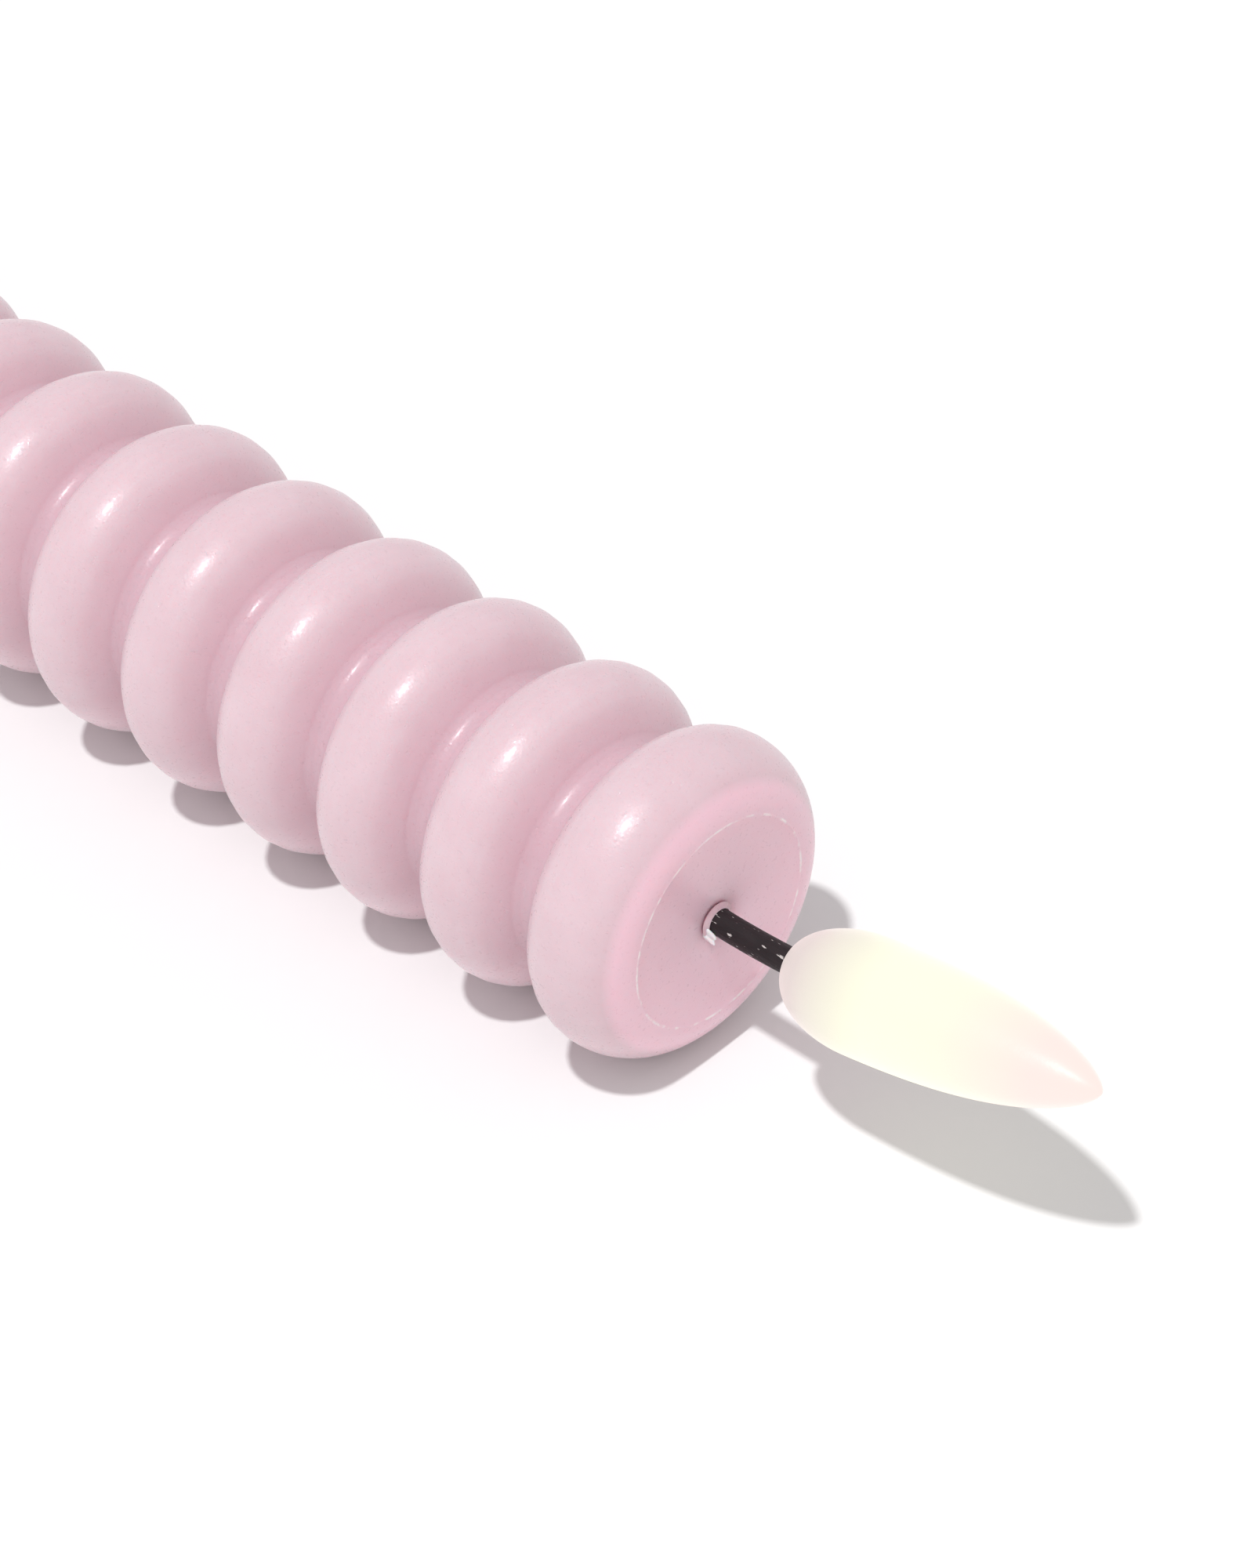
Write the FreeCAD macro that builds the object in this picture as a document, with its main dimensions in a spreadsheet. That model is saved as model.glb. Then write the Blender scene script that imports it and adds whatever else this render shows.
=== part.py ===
"""Flameless LED dinner candle: a ringed wax body round a plastic core with two cells, a switch cap that
screws into the foot, and a frosted flame tip on a black wick sleeve.

Millimetres. +Z runs from the foot to the flame, and the origin is the centre of the foot's underside.
"""
import FreeCAD, Part
import Sketcher
import math
import os

Vector = FreeCAD.Vector

# Driving dimensions: name, value, what it measures.
SIZES = (
    ("ring_pitch", 10.65, "one ring's crest to the next"),
    ("ring_count", 18, "rings along the candle"),
    ("crest_dia", 25, "over the crests"),
    ("crest_round", 4, "radius of a crest's bulge"),
    ("groove_depth", 3.89, "crest to valley"),
    ("foot_dia", 22, "plain foot that stands in a holder"),
    ("foot_length", 20, "foot up to the first valley"),
    ("seam_dia", 17.5, "mould seam round the end face"),
    ("seam_rise", 4.82, "last crest to the seam"),
    ("dish_depth", 0.2, "fall of the end face from seam to dimple"),
    ("dimple_dia", 4, "dimple round the wick"),
    ("dimple_depth", 0.35, "depth of that dimple"),
    ("fit_gap", 0.05, "radial clearance of glued and seated pieces"),
    ("face_gap", 0.1, "between the cap's flange and the foot"),
    ("cell_dia", 10.5, "AAA cell"),
    ("cell_length", 44.5, "AAA cell with its button"),
    ("cell_skin", 0.15, "printed sleeve on a cell"),
    ("button_dia", 3.8, "cell's positive button"),
    ("button_height", 1, "height of that button"),
    ("cell_gap", 0.35, "radial clearance of a cell in the tube"),
    ("tube_wall", 1.1, "core tube"),
    ("crown_wax", 5.2, "wax between the head plug and the seam"),
    ("boss_height", 3, "gland boss on the head plug"),
    ("boss_dia", 7, "that boss"),
    ("flange_height", 3, "head plug's flange"),
    ("spigot_length", 6, "head plug inside the tube"),
    ("plug_wall", 1.2, "head plug's skirt"),
    ("collar_dia", 20, "threaded collar in the foot"),
    ("collar_bore", 16.6, "its bore"),
    ("collar_headroom", 1.2, "collar's bore above the cell seat"),
    ("shoulder_height", 1, "collar's inner shoulder under the tube"),
    ("socket_depth", 4.8, "collar's socket round the tube"),
    ("socket_wall", 0.85, "that socket"),
    ("thread_lead", 12, "drop in one turn"),
    ("thread_width", 2.7, "helical slot for a lug"),
    ("thread_depth", 1.05, "that slot in the collar's wall"),
    ("thread_top", 7.3, "height of the slot's closed end"),
    ("lug_dia", 2, "cap's lug"),
    ("lug_gap", 0.15, "between a lug's end and the slot's floor"),
    ("lug_lag", 10, "degrees from the slot's end to the seated lug"),
    ("cap_dia", 21.8, "switch cap's flange"),
    ("cap_rim", 1.2, "standing rim under the cap"),
    ("cap_floor", 1.4, "cap's floor"),
    ("cap_recess_dia", 18, "recess inside the rim"),
    ("cup_dia", 16, "cap's spigot"),
    ("cup_wall", 1.2, "that spigot's wall"),
    ("cup_height", 7, "spigot above the floor"),
    ("switch_length", 8.6, "slide switch"),
    ("switch_width", 3.7, "its width"),
    ("switch_height", 3.5, "its height"),
    ("frame_sheet", 0.3, "switch's steel frame"),
    ("knob_length", 2.4, "switch knob along its travel"),
    ("knob_width", 2, "switch knob across"),
    ("knob_sink", 0.3, "knob's end above the standing rim"),
    ("travel", 2, "switch travel"),
    ("slide_gap", 0.3, "round the moving knob"),
    ("carriage_length", 3.6, "knob's carriage inside the switch"),
    ("carriage_height", 1, "that carriage"),
    ("post_dia", 3, "screw posts in the cap"),
    ("post_spread", 9.2, "between the two posts"),
    ("screw_dia", 1.4, "screw's shank"),
    ("screw_head", 2.6, "screw's head"),
    ("retainer_thick", 1.2, "plate over the switch"),
    ("retainer_dia", 13.2, "that plate"),
    ("plate_thick", 0.4, "contact plates"),
    ("plate_dia", 12.4, "spring's plate"),
    ("spring_dia", 5.2, "spring, to the wire's centre"),
    ("spring_wire", 0.6, "its wire"),
    ("spring_height", 3, "spring with the cells in"),
    ("spring_turns", 3, "its turns"),
    ("strip_width", 2.6, "brass strips"),
    ("strip_thick", 0.3, "their thickness"),
    ("holder_height", 3.2, "disc that carries the board"),
    ("board_width", 8, "circuit board"),
    ("board_length", 26, "its length"),
    ("board_thick", 1, "its thickness"),
    ("board_back", 0.25, "board's front face behind the axis"),
    ("board_sink", 2, "board's foot in its holder"),
    ("wick_dia", 2, "black wick sleeve"),
    ("wick_bore", 1.2, "its bore"),
    ("wick_bend_radius", 60, "the sleeve's gentle lean"),
    ("wick_bend", 7.5, "degrees of that lean"),
    ("wire_dia", 0.45, "insulated wires to the lamp"),
    ("wire_spread", 0.52, "between the two wires"),
    ("flame_rise", 6.6, "seam to the flame's base"),
    ("flame_left", 0.53, "flame's base to the -X side"),
    ("flame_back", 0.53, "flame's base to the +Y side"),
    ("flame_tilt", 12.1, "degrees from the candle's axis"),
    ("flame_dia", 8.56, "at the belly"),
    ("flame_length", 27.4, "base to tip"),
    ("flame_base_dia", 3, "flat under the flame"),
    ("belly_up", 6.77, "base to the belly"),
    ("flame_point", 0.5, "blunt end of the tip"),
    ("flame_wall", 0.9, "frosted shell"),
    ("lamp_dia", 3, "LED"),
    ("lamp_length", 5.3, "LED with its dome"),
    ("lamp_up", 3.2, "LED above the flame's base"),
    ("lead_dia", 0.44, "LED's leads"),
    ("lead_length", 1.5, "their length"),
    ("lead_spread", 1.5, "between them"),
)

doc = FreeCAD.newDocument("flameless_dinner_candle")
sheet = doc.addObject("Spreadsheet::Sheet", "sizes")
for line, (alias, size, note) in enumerate(SIZES, start=1):
    sheet.set(f"A{line}", alias)
    sheet.set(f"B{line}", str(size))
    sheet.set(f"C{line}", note)
    sheet.setAlias(f"B{line}", alias)
doc.recompute()


def named(text):
    """Put the sheet's name before each alias in an expression."""
    words = []
    for word in text.replace("(", "( ").replace(")", " )").split():
        words.append("sizes." + word if word in ALIASES else word)
    return " ".join(words)


ALIASES = {alias for alias, size, note in SIZES}


def value(text):
    return float(sheet.evalExpression(named(text)))


# Radii and heights that several pieces share, each worked out from the sheet.
CREST = "( crest_dia / 2 )"
VALLEY = "( crest_dia / 2 - groove_depth )"
FOOT = "( foot_dia / 2 )"
CAP_TOP = "( cap_rim + cap_floor )"
FOOT_FACE = f"( {CAP_TOP} + face_gap )"
FRAME_TOP = f"( {CAP_TOP} + switch_height + frame_sheet )"
RETAINER_TOP = f"( {FRAME_TOP} + retainer_thick )"
SPRING_SEAT = f"( {RETAINER_TOP} + plate_thick )"
CELL_SEAT = f"( {SPRING_SEAT} + spring_height )"
COLLAR_INNER_TOP = f"( {CELL_SEAT} + collar_headroom )"
TUBE_SEAT = f"( {COLLAR_INNER_TOP} + shoulder_height )"
SOCKET_TOP = f"( {TUBE_SEAT} + socket_depth )"
TUBE_BORE = "( cell_dia / 2 + cell_gap )"
TUBE_OUT = f"( {TUBE_BORE} + tube_wall )"
WAX_BORE = f"( {TUBE_OUT} + fit_gap )"
SOCKET_OUT = f"( {WAX_BORE} + socket_wall )"
LAST_VALLEY = "( foot_length + ring_pitch * ( ring_count - 1 ) )"
SEAM = f"( {LAST_VALLEY} + ring_pitch / 2 + seam_rise )"
HEAD_TOP = f"( {SEAM} - crown_wax )"
FLANGE_TOP = f"( {HEAD_TOP} - boss_height )"
TUBE_TOP = f"( {FLANGE_TOP} - flange_height )"
CELLS_TOP = f"( {CELL_SEAT} + 2 * cell_length )"
HOLDER_FOOT = f"( {CELLS_TOP} + plate_thick )"
HOLDER_TOP = f"( {HOLDER_FOOT} + holder_height )"
BOARD_FOOT = f"( {HOLDER_TOP} - board_sink )"
BOARD_TOP = f"( {BOARD_FOOT} + board_length )"
BOARD_REAR = "( board_back + board_thick )"
WICK_HOLE = "( wick_dia / 2 + fit_gap )"
STRIP_IN = f"( {TUBE_OUT} - strip_thick - 3 * fit_gap )"

sub_parts = []


def keep(thing, label):
    thing.Label = label
    sub_parts.append(thing)
    return thing


# ---- sketches and features ----

def new_body(label):
    body = doc.addObject("PartDesign::Body", label)
    return keep(body, label)


def new_sketch(body, role, name, lift=None):
    plane = [item for item in body.Origin.OriginFeatures if item.Role == role][0]
    sketch = body.newObject("Sketcher::SketchObject", name)
    sketch.AttachmentSupport = [(plane, "")]
    sketch.MapMode = "FlatFace"
    if lift:
        sketch.setExpression("AttachmentOffset.Base.z", named(lift))
    return sketch


def bind(sketch, kind, where, text):
    """One driving constraint whose size is an expression."""
    index = sketch.addConstraint(Sketcher.Constraint(kind, *where, value(text)))
    sketch.setExpression(f"Constraints[{index}]", named(text))


def bind_point(sketch, edge, end, across, up):
    for kind, text, axis in (("DistanceX", across, -2), ("DistanceY", up, -1)):
        if text == "0":
            sketch.addConstraint(Sketcher.Constraint("PointOnObject", edge, end, axis))
        else:
            bind(sketch, kind, (-1, 1, edge, end), text)


def arc_between(first, last, radius, side):
    """The short arc from first to last, its centre to the left (side 1) or right (side -1)."""
    chord = last - first
    left = Vector(-chord.y, chord.x, 0).normalize()
    rise = math.sqrt(radius ** 2 - (chord.Length / 2) ** 2)
    centre = (first + last) * 0.5 + left * (side * rise)
    middle = centre - left * (side * radius)
    return Part.Arc(first, middle, last)


def outline(sketch, corners):
    """A closed outline. A corner is (across, up) or (across, up, radius, side): an arc to the next."""
    places = [Vector(value(corner[0]), value(corner[1]), 0) for corner in corners]
    ends = []
    for number, corner in enumerate(corners):
        first, last = places[number], places[(number + 1) % len(places)]
        if len(corner) == 2:
            edge = sketch.addGeometry(Part.LineSegment(first, last), False)
            ends.append((edge, 1, 2))
        else:
            shape = arc_between(first, last, value(corner[2]), corner[3])
            edge = sketch.addGeometry(shape, False)
            from_start = sketch.getPoint(edge, 1).distanceToPoint(first) < 1e-4
            ends.append((edge, 1, 2) if from_start else (edge, 2, 1))
    for number, corner in enumerate(corners):
        edge, start, stop = ends[number]
        before, unused_start, before_stop = ends[number - 1]
        sketch.addConstraint(Sketcher.Constraint("Coincident", before, before_stop, edge, start))
        bind_point(sketch, edge, start, corner[0], corner[1])
        if len(corner) > 2:
            bind(sketch, "Radius", (edge,), corner[2])


def box_outline(sketch, left, low, right, high):
    outline(sketch, [(left, low), (right, low), (right, high), (left, high)])


def disc(sketch, across, up, radius):
    place = Vector(value(across), value(up), 0)
    edge = sketch.addGeometry(Part.Circle(place, Vector(0, 0, 1), value(radius)), False)
    bind_point(sketch, edge, 3, across, up)
    bind(sketch, "Radius", (edge,), radius)


def spin(body, sketch, kind="PartDesign::Revolution"):
    before = body.Shape.Volume if kind == "PartDesign::Groove" else 0
    feature = body.newObject(kind, sketch.Name + "_spin")
    feature.Profile = sketch
    feature.ReferenceAxis = (sketch, ["V_Axis"])
    feature.Angle = 360
    doc.recompute()
    if before and body.Shape.Volume > before - 1e-3:
        raise ValueError(f"{feature.Name} removed nothing")
    return feature


def pad(body, sketch, length, middle=False):
    feature = body.newObject("PartDesign::Pad", sketch.Name + "_pad")
    feature.Profile = sketch
    feature.Midplane = middle
    feature.setExpression("Length", named(length))
    doc.recompute()
    return feature


def pocket(body, sketch, length, upward=True):
    before = body.Shape.Volume
    feature = body.newObject("PartDesign::Pocket", sketch.Name + "_cut")
    feature.Profile = sketch
    feature.Reversed = upward
    feature.setExpression("Length", named(length))
    doc.recompute()
    if body.Shape.Volume > before - 1e-3:
        raise ValueError(f"{feature.Name} removed nothing")
    return feature


def turned(label, corners):
    """A body made by turning one outline about Z."""
    body = new_body(label)
    sketch = new_sketch(body, "XZ_Plane", label + "_section")
    outline(sketch, corners)
    spin(body, sketch)
    return body


def strip(label, corners, width, role="XZ_Plane"):
    """A bent strip: its side outline, padded evenly about the plane."""
    body = new_body(label)
    sketch = new_sketch(body, role, label + "_side")
    outline(sketch, corners)
    pad(body, sketch, width, middle=True)
    return body


# ---- primitives ----

def solid(kind, label, x="0", y="0", z="0", **sizes):
    thing = doc.addObject(kind, label)
    for name, text in sizes.items():
        thing.setExpression(name, named(text))
    for axis, text in (("x", x), ("y", y), ("z", z)):
        thing.setExpression("Placement.Base." + axis, named(text))
    doc.recompute()
    return thing


def rod(label, radius, length, x="0", y="0", z="0"):
    return solid("Part::Cylinder", label, x, y, z, Radius=radius, Height=length)


def block(label, wide, deep, high, x="0", y="0", z="0"):
    """A box centred on x and y, standing on z."""
    corner = (f"{x} - ( {wide} ) / 2", f"{y} - ( {deep} ) / 2", z)
    return solid("Part::Box", label, *corner, Length=wide, Width=deep, Height=high)


def cut(label, base, tool):
    result = doc.addObject("Part::Cut", label)
    result.Base = base
    result.Tool = tool
    doc.recompute()
    return result


def joined(label, pieces):
    result = doc.addObject("Part::MultiFuse", label)
    result.Shapes = pieces
    doc.recompute()
    return result


def several(label, pieces):
    """Equal loose pieces that share one node."""
    result = doc.addObject("Part::Compound", label)
    result.Links = pieces
    doc.recompute()
    return result


def leaning_rod(label, radius, low, bend, x="0"):
    """Straight up from low to the seam, then round the wick's lean towards -Y by bend degrees."""
    straight = rod(label + "_straight", radius, f"{SEAM} - ( {low} )", x, "0", low)
    lean = solid("Part::Torus", label + "_lean", x, "0 - wick_bend_radius", SEAM,
                 Radius1="wick_bend_radius", Radius2=radius, Angle3=bend)
    lean.Placement.Rotation = FreeCAD.Rotation(Vector(1, 1, 1), 120)
    doc.recompute()
    return joined(label, [straight, lean])


# ---- the wax ----

# A ring's side is two tangent arcs: the crest's bulge, and a fillet in the valley.
HALF = "( ring_pitch / 2 )"
FILLET = f"( ( groove_depth ^ 2 + {HALF} ^ 2 ) / ( 2 * groove_depth ) - crest_round )"
SHARE = f"( crest_round / ( crest_round + {FILLET} ) )"
TOUCH_RISE = f"( {HALF} * {SHARE} )"
TOUCH_RADIUS = f"( {CREST} - crest_round + ( {VALLEY} + {FILLET} - {CREST} + crest_round ) * {SHARE} )"
SEAM_RADIUS = "( seam_dia / 2 )"
FRONT_DROP = f"( {CREST} - {SEAM_RADIUS} )"
FRONT_ROUND = f"( ( seam_rise ^ 2 + {FRONT_DROP} ^ 2 ) / ( 2 * {FRONT_DROP} ) )"
SHOULDER = f"( {FOOT} - {VALLEY} )"
FIRST_CREST = f"( foot_length + {HALF} )"
LAST_CREST = f"( {LAST_VALLEY} + {HALF} )"

wax = new_body("wax_body")
foot = new_sketch(wax, "XZ_Plane", "foot")
COLLAR_HOLE = "( collar_dia / 2 + fit_gap )"
SOCKET_HOLE = f"( {SOCKET_OUT} + fit_gap )"
outline(foot, [
    (COLLAR_HOLE, FOOT_FACE),
    (FOOT, FOOT_FACE),
    (FOOT, f"foot_length - {SHOULDER} - crest_round * 0.3", SHOULDER, 1),
    (VALLEY, "foot_length - crest_round * 0.3"),
    (VALLEY, "foot_length"),
    (WAX_BORE, "foot_length"),
    (WAX_BORE, f"{SOCKET_TOP} + fit_gap"),
    (SOCKET_HOLE, f"{SOCKET_TOP} + fit_gap"),
    (SOCKET_HOLE, f"{TUBE_SEAT} + fit_gap"),
    (COLLAR_HOLE, f"{TUBE_SEAT} + fit_gap"),
])
spin(wax, foot)
ring = new_sketch(wax, "XZ_Plane", "ring")
outline(ring, [
    (WAX_BORE, "foot_length"),
    (VALLEY, "foot_length", FILLET, -1),
    (TOUCH_RADIUS, f"{FIRST_CREST} - {TOUCH_RISE}", "crest_round", 1),
    (TOUCH_RADIUS, f"{FIRST_CREST} + {TOUCH_RISE}", FILLET, -1),
    (VALLEY, "foot_length + ring_pitch"),
    (WAX_BORE, "foot_length + ring_pitch"),
])
ring_spin = spin(wax, ring)
last = new_sketch(wax, "XZ_Plane", "last_ring")
DISH = f"( {SEAM} - dish_depth )"
outline(last, [
    (WAX_BORE, LAST_VALLEY),
    (VALLEY, LAST_VALLEY, FILLET, -1),
    (TOUCH_RADIUS, f"{LAST_CREST} - {TOUCH_RISE}", "crest_round", 1),
    (CREST, LAST_CREST, FRONT_ROUND, 1),
    (SEAM_RADIUS, SEAM),
    ("dimple_dia / 2", DISH),
    (f"{WICK_HOLE} + 4 * fit_gap", f"{DISH} - dimple_depth"),
    (f"{WICK_HOLE} + fit_gap", f"{DISH} - dimple_depth"),
    (f"{WICK_HOLE} + fit_gap", f"{HEAD_TOP} + fit_gap"),
    ("boss_dia / 2 + fit_gap", f"{HEAD_TOP} + fit_gap"),
    ("boss_dia / 2 + fit_gap", f"{FLANGE_TOP} + fit_gap"),
    (WAX_BORE, f"{FLANGE_TOP} + fit_gap"),
])
spin(wax, last)
rings = wax.newObject("PartDesign::LinearPattern", "rings")
rings.Originals = [ring_spin]
rings.Direction = (ring, ["V_Axis"])
rings.setExpression("Length", named("ring_pitch * ( ring_count - 2 )"))
rings.setExpression("Occurrences", named("ring_count - 1"))
wax.Tip = rings
doc.recompute()

# ---- the core inside the wax ----

tube = rod("tube_round", TUBE_OUT, f"{TUBE_TOP} - {TUBE_SEAT}", z=TUBE_SEAT)
tube_bore = rod("tube_bore", TUBE_BORE, f"{TUBE_TOP} - {TUBE_SEAT}", z=TUBE_SEAT)
STRIP_BEND = f"( {HOLDER_TOP} + 0.4 )"
strip_groove = block("strip_groove", "strip_width + 8 * fit_gap", "2 * strip_thick",
                     f"{STRIP_BEND} + strip_thick + 4 * fit_gap - {TUBE_SEAT}",
                     y=f"{STRIP_IN} - fit_gap + strip_thick", z=TUBE_SEAT)
strip_window = block("strip_window", "strip_width + 8 * fit_gap", "4 * tube_wall",
                     "strip_thick + 8 * fit_gap", y=TUBE_OUT, z=f"{STRIP_BEND} - 4 * fit_gap")
bored = cut("bored_tube", tube, tube_bore)
keep(cut("core_tube", bored, joined("strip_way", [strip_groove, strip_window])), "core_tube")

collar = turned("core_collar", [
    ("collar_bore / 2", FOOT_FACE),
    ("collar_dia / 2", FOOT_FACE),
    ("collar_dia / 2", TUBE_SEAT),
    (SOCKET_OUT, TUBE_SEAT),
    (SOCKET_OUT, SOCKET_TOP),
    (WAX_BORE, SOCKET_TOP),
    (WAX_BORE, TUBE_SEAT),
    (f"{TUBE_BORE} + 2 * fit_gap", TUBE_SEAT),
    (f"{TUBE_BORE} + 2 * fit_gap", COLLAR_INNER_TOP),
    ("collar_bore / 2", COLLAR_INNER_TOP),
])
strip_slot = new_sketch(collar, "XY_Plane", "strip_slot", COLLAR_INNER_TOP)
SLOT_HALF = "( strip_width / 2 + 4 * fit_gap )"
# The collar is turned by lug_lag below, so this slot is turned back to stay over the strip.
strip_slot.AttachmentOffset = FreeCAD.Placement(Vector(0, 0, 0), FreeCAD.Rotation(Vector(0, 0, -1), 1))
strip_slot.setExpression("AttachmentOffset.Rotation.Angle", named("lug_lag"))
box_outline(strip_slot, f"0 - {SLOT_HALF}", f"{STRIP_IN} - fit_gap", SLOT_HALF,
            f"{STRIP_IN} + strip_thick + fit_gap")
pocket(collar, strip_slot, "shoulder_height")
slot = new_sketch(collar, "XZ_Plane", "thread_slot")
box_outline(slot, "collar_bore / 2 - 0.8", "thread_top - thread_width / 2",
            "collar_bore / 2 + thread_depth", "thread_top + thread_width / 2")
helix = collar.newObject("PartDesign::SubtractiveHelix", "thread")
doc.recompute()
smooth_volume = collar.Shape.Volume
helix.Profile = slot
helix.ReferenceAxis = (slot, ["V_Axis"])
helix.Mode = 0
helix.Reversed = True
helix.setExpression("Pitch", named("thread_lead"))
helix.setExpression("Height", named("thread_lead / 2 + 0.1"))
doc.recompute()
threads = collar.newObject("PartDesign::PolarPattern", "two_starts")
threads.Originals = [helix]
threads.Axis = (slot, ["V_Axis"])
threads.Angle = 360
threads.Occurrences = 2
collar.Tip = threads
doc.recompute()
if collar.Shape.Volume > smooth_volume - 1:
    raise ValueError("the thread removed nothing")
# The lugs sit on the X axis, so the collar turns until each lug is just past its slot's closed end.
collar.Placement.Rotation = FreeCAD.Rotation(Vector(0, 0, 1), 0)
collar.setExpression("Placement.Rotation.Angle", named("lug_lag"))

RING_LOW = f"( {COLLAR_INNER_TOP} - strip_thick )"
turned("collar_contact_ring", [
    (f"{TUBE_BORE} + 10 * fit_gap", RING_LOW),
    ("collar_bore / 2 - 2 * fit_gap", RING_LOW),
    ("collar_bore / 2 - 2 * fit_gap", COLLAR_INNER_TOP),
    (f"{TUBE_BORE} + 10 * fit_gap", COLLAR_INNER_TOP),
])
STRIP_OUT = f"( {STRIP_IN} + strip_thick )"
strip("return_strip", [
    (STRIP_IN, COLLAR_INNER_TOP),
    (STRIP_OUT, COLLAR_INNER_TOP),
    (STRIP_OUT, f"{STRIP_BEND} + strip_thick"),
    (BOARD_REAR, f"{STRIP_BEND} + strip_thick"),
    (BOARD_REAR, STRIP_BEND),
    (STRIP_IN, STRIP_BEND),
], "strip_width", "YZ_Plane")

TAB_X = "( 0 - board_width / 2 + 1.4 )"
contact_disc = rod("contact_disc", "cell_dia / 2 - 0.7", "plate_thick", z=CELLS_TOP)
contact_tab = block("contact_tab", "2", "plate_thick", f"{HOLDER_TOP} + 1 - {CELLS_TOP}", x=TAB_X,
                    y="board_back - plate_thick / 2", z=CELLS_TOP)
keep(joined("positive_contact", [contact_disc, contact_tab]), "positive_contact")
holder_disc = rod("holder_disc", f"{TUBE_BORE} - 2 * fit_gap", "holder_height", z=HOLDER_FOOT)
board_slot = block("board_slot", "board_width + 2 * fit_gap", "board_thick + 2 * fit_gap", "board_sink",
                   y="board_back + board_thick / 2", z=BOARD_FOOT)
tab_slot = block("tab_slot", "2 + 2 * fit_gap", "plate_thick + 2 * fit_gap", "holder_height", x=TAB_X,
                 y="board_back - plate_thick / 2", z=HOLDER_FOOT)
keep(cut("board_holder", holder_disc, joined("holder_slots", [board_slot, tab_slot])), "board_holder")

# ---- the board and what is soldered to it ----

keep(block("circuit_board", "board_width", "board_thick", "board_length",
           y="board_back + board_thick / 2", z=BOARD_FOOT), "circuit_board")
chip_face = "board_back - 0.75"
keep(block("timer_chip", "3.9", "1.5", "4.9", y=chip_face, z=f"{HOLDER_TOP} + 4.5"), "timer_chip")
keep(rod("clock_crystal", "1", "6", "2.4", "board_back - 1.05", f"{HOLDER_TOP} + 12"), "clock_crystal")
chips = [block(f"resistor_{number}", "1.2", "0.5", "2", x="-2.6", y="board_back - 0.25",
               z=f"{HOLDER_TOP} + 12 + {number} * 3") for number in range(2)]
keep(several("board_resistors", chips), "board_resistors")
keep(rod("board_capacitor", "1.9", "5", "0", f"{BOARD_REAR} + 1.95", f"{HOLDER_TOP} + 8"),
     "board_capacitor")

# ---- the head, the wick and the flame ----

turned("core_head", [
    (f"{TUBE_BORE} - 2 * fit_gap - plug_wall", f"{TUBE_TOP} - spigot_length"),
    (f"{TUBE_BORE} - 2 * fit_gap", f"{TUBE_TOP} - spigot_length"),
    (f"{TUBE_BORE} - 2 * fit_gap", TUBE_TOP),
    (TUBE_OUT, TUBE_TOP),
    (TUBE_OUT, FLANGE_TOP),
    ("boss_dia / 2", FLANGE_TOP),
    ("boss_dia / 2", HEAD_TOP),
    (WICK_HOLE, HEAD_TOP),
    (WICK_HOLE, FLANGE_TOP),
    ("wick_dia", FLANGE_TOP),
    ("wick_dia", f"{FLANGE_TOP} - flange_height * 2 / 3"),
    (f"{TUBE_BORE} - 2 * fit_gap - plug_wall", f"{FLANGE_TOP} - flange_height * 2 / 3"),
])
sleeve_round = leaning_rod("sleeve_round", "wick_dia / 2", FLANGE_TOP, "wick_bend")
sleeve_bore = leaning_rod("sleeve_bore", "wick_bore / 2", FLANGE_TOP, "wick_bend")
keep(cut("wick_sleeve", sleeve_round, sleeve_bore), "wick_sleeve")
GLUE_FOOT = f"( {DISH} - dimple_depth )"
turned("wick_glue", [
    (WICK_HOLE, GLUE_FOOT),
    (f"{WICK_HOLE} + 4 * fit_gap", GLUE_FOOT),
    (f"{WICK_HOLE} + 8 * fit_gap", f"{GLUE_FOOT} + 0.25"),
    (WICK_HOLE, f"{GLUE_FOOT} + 0.5"),
])
WIRE_END = "wick_bend + 0.9"
for side, name in ((1, "led_wire_positive"), (-1, "led_wire_negative")):
    keep(leaning_rod(name, "wire_dia / 2", f"{BOARD_TOP} - 4", WIRE_END, f"{side} * wire_spread / 2"), name)

TURN = "flame_tilt * 1 deg"
BEND = "wick_bend * 1 deg"
FLAME_FOOT = f"( {SEAM} + flame_rise )"
# Where the sleeve's end lies behind the flame's own axis, measured across it.
END_Y = f"( 0 - wick_bend_radius * ( 1 - cos( {BEND} ) ) - flame_back )"
END_Z = f"( wick_bend_radius * sin( {BEND} ) - flame_rise )"
LAMP_Y = f"( {END_Y} * cos( {TURN} ) + {END_Z} * sin( {TURN} ) )"


def on_flame(thing, across="0", back="0", up="0"):
    """Stand a piece in the flame's own frame, which leans towards -Y by the flame's tilt."""
    thing.Placement.Rotation = FreeCAD.Rotation(Vector(1, 0, 0), value("flame_tilt"))
    thing.setExpression("Placement.Rotation.Angle", named("flame_tilt"))
    places = {
        "x": f"{across} - flame_left",
        "y": f"flame_back + ( {back} ) * cos( {TURN} ) - ( {up} ) * sin( {TURN} )",
        "z": f"{FLAME_FOOT} + ( {back} ) * sin( {TURN} ) + ( {up} ) * cos( {TURN} )",
    }
    for axis, text in places.items():
        thing.setExpression("Placement.Base." + axis, named(text))
    doc.recompute()
    return thing


def flame_radius(up):
    """The flame's outline: a dome up to the belly, then a long taper to the tip."""
    belly, base, length = value("flame_dia / 2"), value("flame_base_dia / 2"), value("flame_length")
    swell = value("belly_up")
    if up < swell:
        return base + (belly - base) * math.sqrt(1 - (1 - up / swell) ** 2)
    return belly * (1 - ((up - swell) / (length - swell)) ** 2.5) ** 0.67


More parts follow.
